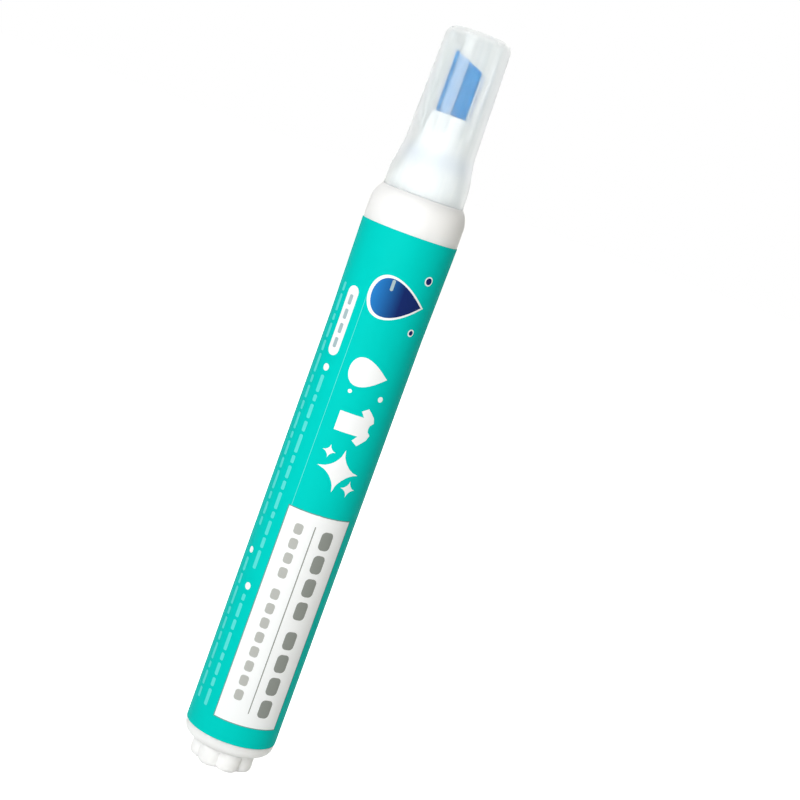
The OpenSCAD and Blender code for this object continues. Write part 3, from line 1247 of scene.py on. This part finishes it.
@dataclass
class Label:
    """The teal film round the barrel, with the strip where its ends lap at the back."""

    finishes: Finishes
    film_t: float = 0.1
    film_edge: float = 0.03
    lap_turn: float = 24.0
    lap_steps: int = 20
    lap_rise: float = 0.05
    lap_sink: float = 0.02
    lap_margin: float = 0.05
    round_steps: int = 256

    def film(self) -> Thing:
        """Spins the film, which follows the barrel's flare.

        Returns:
            The film.
        """
        share = (PEN.z_label_top - PEN.z_flare) / (PEN.z_collar - PEN.z_flare)
        top_r = PEN.barrel_r + (PEN.collar_r - PEN.barrel_r) * share
        sheet = revolve("label_wrap", [
            (PEN.barrel_r, PEN.z_label_foot),
            (PEN.label_r - self.film_edge, PEN.z_label_foot),
            (PEN.label_r, PEN.z_label_foot + self.film_edge),
            (PEN.label_r, PEN.z_flare),
            (top_r + self.film_t, PEN.z_label_top - self.film_edge),
            (top_r + self.film_t - self.film_edge, PEN.z_label_top),
            (top_r, PEN.z_label_top),
            (PEN.barrel_r, PEN.z_flare),
        ], closed=True, steps=self.round_steps)
        return place(sheet, self.finishes.film, Body.BARREL, ["label"])

    def lap(self) -> Thing:
        """Spins the strip at the back where the film's end lies over its start.

        Returns:
            The strip.
        """
        low, high = PEN.z_label_foot + self.lap_margin, PEN.z_label_top - self.lap_margin
        rise = (PEN.collar_r - PEN.barrel_r) * (high - PEN.z_flare) / (PEN.z_collar - PEN.z_flare)
        inner, outer = PEN.label_r - self.lap_sink, PEN.label_r + self.lap_rise
        strip = revolve("label_lap", [
            (inner, low), (outer, low), (outer, PEN.z_flare),
            (outer + rise, high), (inner + rise, high), (inner, PEN.z_flare),
        ], closed=True, steps=self.lap_steps, turn=self.lap_turn)
        edit_all(strip, "EDGE")
        bpy.ops.mesh.select_all(action="DESELECT")
        bpy.ops.mesh.select_non_manifold()
        bpy.ops.mesh.fill()
        bpy.ops.mesh.select_all(action="SELECT")
        bpy.ops.mesh.normals_make_consistent(inside=False)
        close_edit(strip)
        turned(strip, 90 - self.lap_turn / 2)
        return place(strip, self.finishes.film, Body.BARREL)


@dataclass(frozen=True)
class FinePrint:
    """A column of plain dashes of uneven length, in place of small print."""

    x: float
    top: float
    foot: float
    first: int
    width: float = 0.8
    gap: float = 0.55
    lengths: tuple[float, ...] = (1.6, 3.1, 1.2, 2.6, 1.9, 3.4, 1.4, 2.3)

    def spans(self) -> list[tuple[float, float]]:
        """Works out the dashes.

        Returns:
            The middle height and the length of each dash, from the top down.
        """
        found, z, number = [], self.top, self.first
        while z - self.lengths[number % len(self.lengths)] > self.foot:
            length = self.lengths[number % len(self.lengths)]
            found.append((z - length / 2, length))
            z -= length + self.gap
            number += 1
        return found


@dataclass(frozen=True)
class WordColumn:
    """A column of even dashes in two groups, in place of words."""

    x: float
    top: float
    pitch: float
    count: int
    width: float
    length: float
    first_group: int
    group_gap: float

    def spans(self) -> list[tuple[float, float]]:
        """Works out the dashes.

        Returns:
            The middle height and the length of each dash, from the top down.
        """
        return [
            (self.top - self.pitch * i - self.length / 2 - self.group_gap * (i >= self.first_group),
             self.length)
            for i in range(self.count)
        ]


@dataclass(frozen=True)
class Sign:
    """A plain sign's place and reach on the unrolled label."""

    x: float
    z: float
    size: float


@dataclass
class Print:
    """The label's print: flat shapes on the unrolled film, each ink wrapped round it.

    A flat shape has its distance round the barrel, from the middle of the front, as X.
    The print reads along the pen, with its top towards +X.
    """

    finishes: Finishes
    ink_gap: float = 0.012
    ink_t: float = 0.012
    strip_w: float = 0.5
    cut_off: float = 0.3
    panel_x: Point = (-3.82, 8.65)
    panel_z: Point = (10.3, 50.5)
    outline_w: float = 0.15
    rule: Sign = Sign(1.95, 30.6, 35.6)
    rule_w: float = 0.17
    large_words: WordColumn = WordColumn(
        x=4.7, top=48.0, pitch=4.4, count=8, width=2.3, length=3.4, first_group=4, group_gap=1.3
    )
    small_words: WordColumn = WordColumn(
        x=-0.75, top=48.1, pitch=2.75, count=12, width=1.55, length=1.95, first_group=4,
        group_gap=1.3,
    )
    fine_line: Sign = Sign(-3.36, 70.2, 39.4)
    fine_line_w: float = 0.09
    fine_print: tuple[FinePrint, ...] = (
        FinePrint(x=-9.1, top=89.9, foot=41.4, first=0),
        FinePrint(x=-9.1, top=38.4, foot=10.8, first=3),
        FinePrint(x=-6.35, top=73.6, foot=35.4, first=1),
        FinePrint(x=-6.35, top=32.4, foot=10.2, first=2),
    )
    bullets: tuple[Sign, ...] = (
        Sign(-6.3, 75.1, 1.3), Sign(-6.28, 34.0, 1.3), Sign(-8.85, 39.9, 1.2)
    )
    pill: Sign = Sign(-6.15, 83.7, 12.6)
    pill_w: float = 2.45
    pill_dashes: WordColumn = WordColumn(
        x=-6.15, top=88.4, pitch=2.6, count=4, width=0.75, length=1.8, first_group=4, group_gap=0.0
    )
    dash_rounding: float = 0.7
    emblem: Sign = Sign(2.0, 90.1, 4.1)
    emblem_rim: float = 0.48
    emblem_bubbles: tuple[Sign, ...] = (Sign(6.3, 94.9, 1.7), Sign(6.6, 85.5, 1.35))
    bubble_rim: float = 0.25
    emblem_shine: Sign = Sign(0.3, 92.4, 2.0)
    shine_w: float = 0.55
    big_drop: Sign = Sign(1.65, 76.6, 2.75)
    big_shirt: Sign = Sign(2.45, 67.5, 3.35)
    big_star: Sign = Sign(2.4, 59.0, 3.9)
    small_stars: tuple[Sign, ...] = (Sign(5.25, 56.3, 1.5), Sign(-0.35, 61.9, 1.2))
    small_bubbles: tuple[Sign, ...] = (Sign(5.3, 73.0, 1.0), Sign(-0.5, 72.9, 0.7))
    drop_reach: float = 1.3
    drop_slim: float = 1.3
    star_slim: float = 0.62
    half_shirt: tuple[Point, ...] = (
        (0.76, 0.0), (0.79, 0.17), (0.98, 0.34), (0.86, 0.62), (0.42, 1.02), (0.08, 0.8),
        (0.3, 0.52), (-1.0, 0.52),
    )
    corner_steps: int = 5
    outline_steps: int = 56

    def outlined(self, name: str, points: Sequence[Point]) -> Thing:
        """Draws one flat shape from its outline.

        Args:
            name: The shape's name.
            points: Its outline, as (distance round the barrel, height on the pen).

        Returns:
            The flat shape.
        """
        piece = drawn_line(name, [Vector((x, 0, z)) for x, z in points], closed=True)
        bpy.ops.mesh.edge_face_add()
        return close_edit(piece)

    def turns(self) -> list[float]:
        """The angles of a closed outline's points."""
        return [2 * math.pi * i / self.outline_steps for i in range(self.outline_steps)]

    def bar(self, x: float, z: float, width: float, length: float, rounding: float = 1.0) -> Thing:
        """Draws a flat bar with rounded corners.

        Args:
            x: Its middle, round the barrel.
            z: Its middle height.
            width: Its size round the barrel.
            length: Its size along the pen.
            rounding: The share of its half width that its corners take.

        Returns:
            The flat bar.
        """
        nothing_selected()
        bpy.ops.mesh.primitive_plane_add(size=1, location=(x, 0, z), rotation=(math.pi / 2, 0, 0))
        piece = bpy.context.object
        piece.name = "bar"
        piece.scale = (width, length, 1)
        apply_all()
        if rounding:
            edit_all(piece)
            offset = ROUND_SHARE * rounding * min(width, length)
            bpy.ops.mesh.bevel(offset=offset, segments=self.corner_steps, affect="VERTICES")
            close_edit(piece)
        return piece

    def stroke(self, sign: Sign, width: float, rounding: float = 1.0) -> Thing:
        """Draws a flat bar along the pen, whose length is the sign's size."""
        return self.bar(sign.x, sign.z, width, sign.size, rounding)

    def disc(self, sign: Sign) -> Thing:
        """Draws a flat disc, whose diameter is the sign's size."""
        return self.bar(sign.x, sign.z, sign.size, sign.size)

    def dashes(self, column: FinePrint | WordColumn) -> list[Thing]:
        """Draws a column of dashes."""
        return [
            self.bar(column.x, z, column.width, length, self.dash_rounding)
            for z, length in column.spans()
        ]

    def drop(self, sign: Sign, inset: float = 0.0) -> Thing:
        """Draws a water drop whose tip points to the print's top.

        Args:
            sign: Its middle and about half its width.
            inset: How much smaller it is drawn.

        Returns:
            The flat drop.
        """
        reach = self.drop_reach * (sign.size - inset)
        return self.outlined("drop", [
            (
                sign.x + reach * math.cos(turn),
                sign.z + reach * math.sin(turn) * math.sin(turn / 2) ** self.drop_slim,
            )
            for turn in self.turns()
        ])

    def star(self, sign: Sign) -> Thing:
        """Draws a four-pointed sparkle.

        Args:
            sign: Its middle and the reach of its points.

        Returns:
            The flat sparkle.
        """
        slim = self.star_slim
        points = []
        for turn in self.turns():
            right, up = math.cos(turn), math.sin(turn)
            reach = sign.size * (abs(right) ** slim + abs(up) ** slim) ** (-1 / slim)
            points.append((sign.x + reach * right, sign.z + reach * up))
        return self.outlined("sparkle", points)

    def shirt(self, sign: Sign) -> Thing:
        """Draws a plain shirt whose collar points to the print's top.

        Args:
            sign: Its middle and half its height.

        Returns:
            The flat shirt.
        """
        half = list(self.half_shirt)
        whole = half + [(a, -b) for a, b in reversed(half[1:])]
        return self.outlined(
            "shirt", [(sign.x + sign.size * a, sign.z + sign.size * b) for a, b in whole]
        )

    def panel(self) -> Thing:
        """Draws the panel's plain field."""
        (x0, x1), (z0, z1) = self.panel_x, self.panel_z
        return self.bar((x0 + x1) / 2, (z0 + z1) / 2, x1 - x0, z1 - z0, 0)

    def panel_outline(self) -> list[Thing]:
        """Draws four thin bars round the panel."""
        (x0, x1), (z0, z1), w = self.panel_x, self.panel_z, self.outline_w
        return [
            self.bar(x0, (z0 + z1) / 2, w, z1 - z0 + w, 0),
            self.bar(x1, (z0 + z1) / 2, w, z1 - z0 + w, 0),
            self.bar((x0 + x1) / 2, z0, x1 - x0 - w, w, 0),
            self.bar((x0 + x1) / 2, z1, x1 - x0 - w, w, 0),
        ]

    def wrap(
        self,
        shapes: Sequence[Thing],
        name: str,
        ink: Material,
        film: Thing,
        layer: int,
    ) -> Thing:
        """Lays flat shapes of one ink onto the film.

        Args:
            shapes: The flat shapes.
            name: The name of the ink's piece.
            ink: The ink.
            film: The film, in metres.
            layer: 0 on the film, and 1 or more on other ink.

        Returns:
            The wrapped ink.
        """
        sheet = joined(shapes, name)
        low = min(vertex.co.x for vertex in sheet.data.vertices)
        high = max(vertex.co.x for vertex in sheet.data.vertices)
        edit_all(sheet, "FACE")
        cut = math.ceil(low / self.strip_w) * self.strip_w
        while cut < high:
            bpy.ops.mesh.select_all(action="SELECT")
            bpy.ops.mesh.bisect(plane_co=(cut, 0, 0), plane_no=(1, 0, 0))
            cut += self.strip_w
        bpy.ops.mesh.select_all(action="SELECT")
        bpy.ops.mesh.bisect(plane_co=(0, 0, PEN.z_flare), plane_no=(0, 0, 1))
        bpy.ops.mesh.select_all(action="SELECT")
        bpy.ops.transform.translate(value=(0, -self.cut_off, 0))
        close_edit(sheet)
        modify(
            sheet, "SIMPLE_DEFORM", deform_method="BEND", deform_axis="Z",
            angle=(high - low) / PEN.label_r,
        )
        pick(sheet)
        sheet.location = (0, -PEN.label_r * MM, 0)
        sheet.scale = (MM,) * 3
        apply_all()
        above = self.ink_gap + layer * (self.ink_gap + self.ink_t)
        modify(
            sheet, "SHRINKWRAP", target=film, wrap_method="NEAREST_SURFACEPOINT",
            wrap_mode="ABOVE_SURFACE", offset=above * MM,
        )
        if select_faces(sheet, lambda centre, normal: centre.xy.dot(normal.xy) < 0):
            bpy.ops.mesh.flip_normals()
        close_edit(sheet)
        modify(sheet, "SOLIDIFY", thickness=self.ink_t * MM, offset=1.0)
        coat(sheet, ink)
        return set_on(sheet, Body.BARREL)

    def build(self, film: Thing) -> None:
        """Draws each ink's shapes and wraps them.

        Args:
            film: The film, in metres.
        """
        inks = self.finishes
        white = [self.panel(), self.stroke(self.pill, self.pill_w)]
        white += [self.disc(dot) for dot in self.bullets + self.emblem_bubbles + self.small_bubbles]
        white += [self.star(star) for star in (self.big_star, *self.small_stars)]
        white += [self.drop(self.emblem), self.drop(self.big_drop), self.shirt(self.big_shirt)]
        self.wrap(white, "print_white", inks.ink_white, film, 0)

        mint = [self.stroke(self.fine_line, self.fine_line_w, 0)]
        for column in self.fine_print:
            mint += self.dashes(column)
        self.wrap(mint, "print_mint", inks.ink_mint, film, 0)

        self.wrap(self.panel_outline(), "print_edge", inks.ink_edge, film, 1)
        grey = [self.stroke(self.rule, self.rule_w, 0)]
        grey += self.dashes(self.large_words)
        self.wrap(grey, "print_grey", inks.ink_grey, film, 1)
        self.wrap(self.dashes(self.small_words), "print_pale", inks.ink_pale, film, 1)

        navy = [self.drop(self.emblem, self.emblem_rim)]
        navy += [
            self.disc(Sign(dot.x, dot.z, dot.size - 2 * self.bubble_rim))
            for dot in self.emblem_bubbles
        ]
        self.wrap(navy, "print_navy", inks.ink_navy, film, 1)
        silver = [self.stroke(self.emblem_shine, self.shine_w)]
        silver += self.dashes(self.pill_dashes)
        self.wrap(silver, "print_silver", inks.ink_silver, film, 2)


@dataclass(frozen=True)
class Lamp:
    """A soft square lamp that faces the pen, with its place and side in metres."""

    name: str
    place_at: Point3
    side: float
    watts: float
    colour: Colour = (1.0, 1.0, 1.0)

    def light(self, aim: Vector) -> None:
        """Adds the lamp.

        Args:
            aim: The point that it faces, in metres.
        """
        data = bpy.data.lights.new(self.name, "AREA")
        data.shape, data.size, data.energy, data.color = (
            "SQUARE", self.side, self.watts, self.colour
        )
        lamp = bpy.data.objects.new(self.name, data)
        lamp.location = self.place_at
        lamp.rotation_mode = "QUATERNION"
        lamp.rotation_quaternion = (aim - Vector(self.place_at)).to_track_quat("-Z", "Y")
        bpy.context.scene.collection.objects.link(lamp)


@dataclass
class Studio:
    """The camera, the lamps, the pale floor and the white surround.

    The key lamp is at the front left, with a weak warm fill at the right and one high behind.
    """

    distance: float = 0.320
    eye_height: float = 0.11815
    eye_side: float = -0.00014
    tilt: float = 8.0
    lean: float = 19.84
    focal_px: float = 1840.0
    axis_offset_px: float = 48.2
    picture_px: float = 800.0
    sensor: float = 36.0
    clip: Point = (0.01, 20.0)
    aim: Point3 = (0.0, 0.0, 0.07)
    lamps: tuple[Lamp, ...] = (
        Lamp("key", (-0.26, -0.7, 0.34), 0.35, 5.0),
        Lamp("fill", (0.6, -0.3, 0.1), 0.4, 0.25, (1.0, 0.93, 0.6)),
        Lamp("back", (0.0, 0.42, 0.75), 0.4, 2.5),
    )
    ambient: Colour = (1.0, 0.97, 0.86)
    ambient_strength: float = 0.2
    floor_size: float = 8.0
    floor_grey: float = 0.8
    floor_glow: float = 0.9

    def camera(self) -> None:
        """Sets the camera at the photograph's viewing angle."""
        side = math.atan(self.axis_offset_px / self.focal_px)
        down = math.radians(self.tilt)
        level = math.cos(side)
        ahead = Vector((math.sin(side), level * math.cos(down), -level * math.sin(down)))
        up = Vector((0, -ahead.z, ahead.y)).normalized()
        right = ahead.cross(up)
        roll = math.radians(self.lean)
        x_axis = math.cos(roll) * right + math.sin(roll) * up
        y_axis = math.cos(roll) * up - math.sin(roll) * right
        data = bpy.data.cameras.new("camera")
        data.sensor_width = self.sensor
        data.lens = self.sensor * self.focal_px / self.picture_px
        data.clip_start, data.clip_end = self.clip
        camera = bpy.data.objects.new("camera", data)
        turn = Matrix((x_axis, y_axis, -ahead)).transposed().to_4x4()
        eye = Matrix.Translation((self.eye_side, -self.distance, self.eye_height))
        camera.matrix_world = eye @ turn
        bpy.context.scene.collection.objects.link(camera)
        bpy.context.scene.camera = camera

    @staticmethod
    def parted(sheet: NodeSheet, hidden: bpy.types.Node, shown: bpy.types.Node) -> Socket:
        """Shows one shader to the eye, gloss and glass, and another to all other rays.

        Args:
            sheet: The node sheet that both shaders are on.
            hidden: The shader for all other rays.
            shown: The shader for the eye, gloss and glass.

        Returns:
            The output of the two together.
        """
        path = sheet.add("ShaderNodeLightPath").outputs
        seen = sheet.maths("MAXIMUM", path["Is Camera Ray"], path["Is Glossy Ray"])
        seen = sheet.maths("MAXIMUM", seen, path["Is Transmission Ray"])
        mix = sheet.add("ShaderNodeMixShader", Fac=seen)
        sheet.feed(mix.inputs[1], hidden.outputs[0])
        sheet.feed(mix.inputs[2], shown.outputs[0])
        return mix.outputs[0]

    def surround(self) -> None:
        """Makes the surround: white to the eye, gloss and glass, and a weak fill for the rest."""
        world = bpy.data.worlds.new("surround")
        bpy.context.scene.world = world
        world.use_nodes = True
        sheet = NodeSheet(world.node_tree)
        weak = sheet.add(
            "ShaderNodeBackground", Color=rgba(self.ambient), Strength=self.ambient_strength
        )
        white = sheet.add("ShaderNodeBackground", Color=rgba((1.0, 1.0, 1.0)), Strength=1.0)
        sheet.add("ShaderNodeOutputWorld", Surface=self.parted(sheet, weak, white))

    def floor(self) -> None:
        """Lays the plain pale floor that the pen stands on."""
        nothing_selected()
        bpy.ops.mesh.primitive_plane_add(size=self.floor_size)
        floor = bpy.context.object
        floor.name = "floor"
        material = bpy.data.materials.new("pale_floor")
        material.use_nodes = True
        sheet = NodeSheet(material.node_tree)
        matte = sheet.add("ShaderNodeBsdfDiffuse", Color=rgba((self.floor_grey,) * 3))
        glow = sheet.add(
            "ShaderNodeEmission", Color=rgba((1.0, 1.0, 1.0)), Strength=self.floor_glow
        )
        both = sheet.add("ShaderNodeAddShader")
        sheet.feed(both.inputs[0], matte.outputs[0])
        sheet.feed(both.inputs[1], glow.outputs[0])
        sheet.add("ShaderNodeOutputMaterial", Surface=self.parted(sheet, matte, both))
        floor.data.materials.append(material)

    def build(self) -> None:
        """Builds the whole studio."""
        bpy.context.scene.view_settings.view_transform = "Standard"
        self.camera()
        for lamp in self.lamps:
            lamp.light(Vector(self.aim))
        self.surround()
        self.floor()


def main() -> None:
    """Builds the pen's looks and its studio."""
    logging.basicConfig(level=logging.INFO, format="%(message)s")
    Studio().build()
    finishes = Finishes()
    carried = CarriedNodes(finishes)
    carried.dress()
    carried.press_spring()
    Barrel(finishes).build()
    TailPlug(finishes).build()
    label = Label(finishes)
    label.lap()
    Print(finishes).build(label.film())
    FeltNib(finishes).build()
    Cap(finishes).build()


if __name__ == "__main__":
    main()
